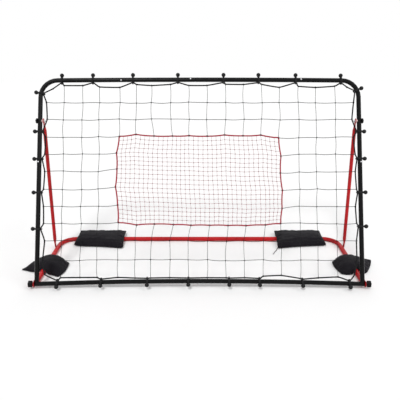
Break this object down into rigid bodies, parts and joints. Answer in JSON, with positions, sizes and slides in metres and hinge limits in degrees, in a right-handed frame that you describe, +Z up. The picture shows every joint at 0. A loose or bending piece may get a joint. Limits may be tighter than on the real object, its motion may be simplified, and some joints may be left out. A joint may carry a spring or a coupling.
{
  "type": "soccer rebounder",
  "caption": "Leaning tube frame with a net held by elastic ball ties, a finer red target panel, rear struts and a low floor frame weighted by sand bags.",
  "frame": {"origin": "on the floor, under the middle of the object's box", "axes": "+X to the player's right along the bars, +Y away from the player, +Z up"},
  "size_m": [2.112, 0.7805, 1.1174],
  "materials": {
    "black_steel": "satin black powder coat",
    "red_steel": "red powder coat",
    "black_plastic": "moulded black plastic",
    "ball_plastic": "moulded ball on black elastic",
    "pale_plastic": "pale moulded plastic",
    "zinc": "zinc plated steel",
    "dark_bolt": "blackened steel",
    "black_cord": "knotted black twine",
    "red_cord": "red twine",
    "bag_cloth": "black woven nylon, filled with sand"
  },
  "bodies": {
    "base": {"base_left_tube": "red_steel", "base_right_tube": "red_steel", "base_rear_tube": "red_steel", "left_foot_rivet": "dark_bolt", "right_foot_rivet": "dark_bolt", "weight_bag_rear_left": "bag_cloth", "weight_bag_rear_right": "bag_cloth", "weight_bag_side_left": "bag_cloth", "weight_bag_side_right": "bag_cloth"},
    "front_frame": {"top_left_corner_tube": "black_steel", "top_left_bar_tube": "black_steel", "top_right_bar_tube": "black_steel", "top_right_corner_tube": "black_steel", "lower_left_corner_tube": "black_steel", "lower_right_corner_tube": "black_steel", "bottom_bar_tube": "black_steel", "left_strut_spacer": "pale_plastic", "right_strut_spacer": "pale_plastic", "coarse_net": "black_cord", "target_net": "red_cord", "ball_tie_01": "ball_plastic", "ball_tie_02": "ball_plastic", "ball_tie_03": "ball_plastic", "ball_tie_04": "ball_plastic", "ball_tie_05": "ball_plastic", "ball_tie_06": "ball_plastic", "ball_tie_07": "ball_plastic", "ball_tie_08": "ball_plastic", "ball_tie_09": "ball_plastic", "ball_tie_10": "ball_plastic", "ball_tie_11": "ball_plastic", "ball_tie_12": "ball_plastic", "ball_tie_13": "ball_plastic", "ball_tie_14": "ball_plastic", "ball_tie_15": "ball_plastic", "ball_tie_16": "ball_plastic", "ball_tie_17": "ball_plastic", "ball_tie_18": "ball_plastic", "ball_tie_19": "ball_plastic", "ball_tie_20": "ball_plastic", "ball_tie_21": "ball_plastic", "ball_tie_22": "ball_plastic", "ball_tie_23": "ball_plastic", "ball_tie_24": "ball_plastic", "ball_tie_25": "ball_plastic", "ball_tie_26": "ball_plastic"},
    "left_strut_arm": {"left_strut": "red_steel", "left_strut_nut": "zinc"},
    "right_strut_arm": {"right_strut": "red_steel", "right_strut_nut": "zinc"},
    "left_front_knob_body": {"left_front_knob": "black_plastic"},
    "right_front_knob_body": {"right_front_knob": "black_plastic"},
    "left_strut_knob_body": {"left_strut_knob": "black_plastic"},
    "right_strut_knob_body": {"right_strut_knob": "black_plastic"},
    "button_top_left_body": {"button_top_left": "zinc"},
    "button_top_middle_body": {"button_top_middle": "zinc"},
    "button_top_right_body": {"button_top_right": "zinc"},
    "button_left_upright_body": {"button_left_upright": "zinc"},
    "button_right_upright_body": {"button_right_upright": "zinc"}
  },
  "joints": [
    {"name": "frame_fold", "type": "hinge", "parent": "base", "child": "front_frame", "pos_m": [0, -0.3547, 0.032], "axis": [-1, 0, 0], "range_deg": [0, 46]},
    {"name": "left_strut_fold", "type": "hinge", "parent": "base", "child": "left_strut_arm", "pos_m": [-0.938, 0.1563, 0.01352], "axis": [-1, 0, 0], "range_deg": [0, 76.7]},
    {"name": "right_strut_fold", "type": "hinge", "parent": "base", "child": "right_strut_arm", "pos_m": [0.938, 0.1563, 0.01352], "axis": [-1, 0, 0], "range_deg": [0, 76.7]},
    {"name": "left_front_knob_turn", "type": "hinge", "parent": "base", "child": "left_front_knob_body", "pos_m": [-0.9148, -0.3547, 0.032], "axis": [-1, 0, 0], "continuous": true},
    {"name": "right_front_knob_turn", "type": "hinge", "parent": "base", "child": "right_front_knob_body", "pos_m": [0.9148, -0.3547, 0.032], "axis": [1, 0, 0], "continuous": true},
    {"name": "left_strut_knob_turn", "type": "hinge", "parent": "front_frame", "child": "left_strut_knob_body", "pos_m": [-0.9, 0.01624, 0.86515], "axis": [-1, 0, 0], "continuous": true},
    {"name": "right_strut_knob_turn", "type": "hinge", "parent": "front_frame", "child": "right_strut_knob_body", "pos_m": [0.9, 0.01624, 0.86515], "axis": [1, 0, 0], "continuous": true},
    {"name": "button_top_left_press", "type": "slide", "parent": "front_frame", "child": "button_top_left_body", "axis": [0, 0.9976, -0.0698], "range_m": [0, 0.0035], "stiffness_N_per_m": 800},
    {"name": "button_top_middle_press", "type": "slide", "parent": "front_frame", "child": "button_top_middle_body", "axis": [0, 0.809, -0.5878], "range_m": [0, 0.0035], "stiffness_N_per_m": 800},
    {"name": "button_top_right_press", "type": "slide", "parent": "front_frame", "child": "button_top_right_body", "axis": [0, 0.866, -0.5], "range_m": [0, 0.0035], "stiffness_N_per_m": 800},
    {"name": "button_left_upright_press", "type": "slide", "parent": "front_frame", "child": "button_left_upright_body", "axis": [0.2419, 0.8864, -0.3947], "range_m": [0, 0.0035], "stiffness_N_per_m": 800},
    {"name": "button_right_upright_press", "type": "slide", "parent": "front_frame", "child": "button_right_upright_body", "axis": [-0.2419, 0.8864, -0.3947], "range_m": [0, 0.0035], "stiffness_N_per_m": 800}
  ],
  "couplings": [
    {"joint": "left_strut_fold", "follows": "frame_fold", "ratio": 1.6667},
    {"joint": "right_strut_fold", "follows": "frame_fold", "ratio": 1.6667}
  ]
}
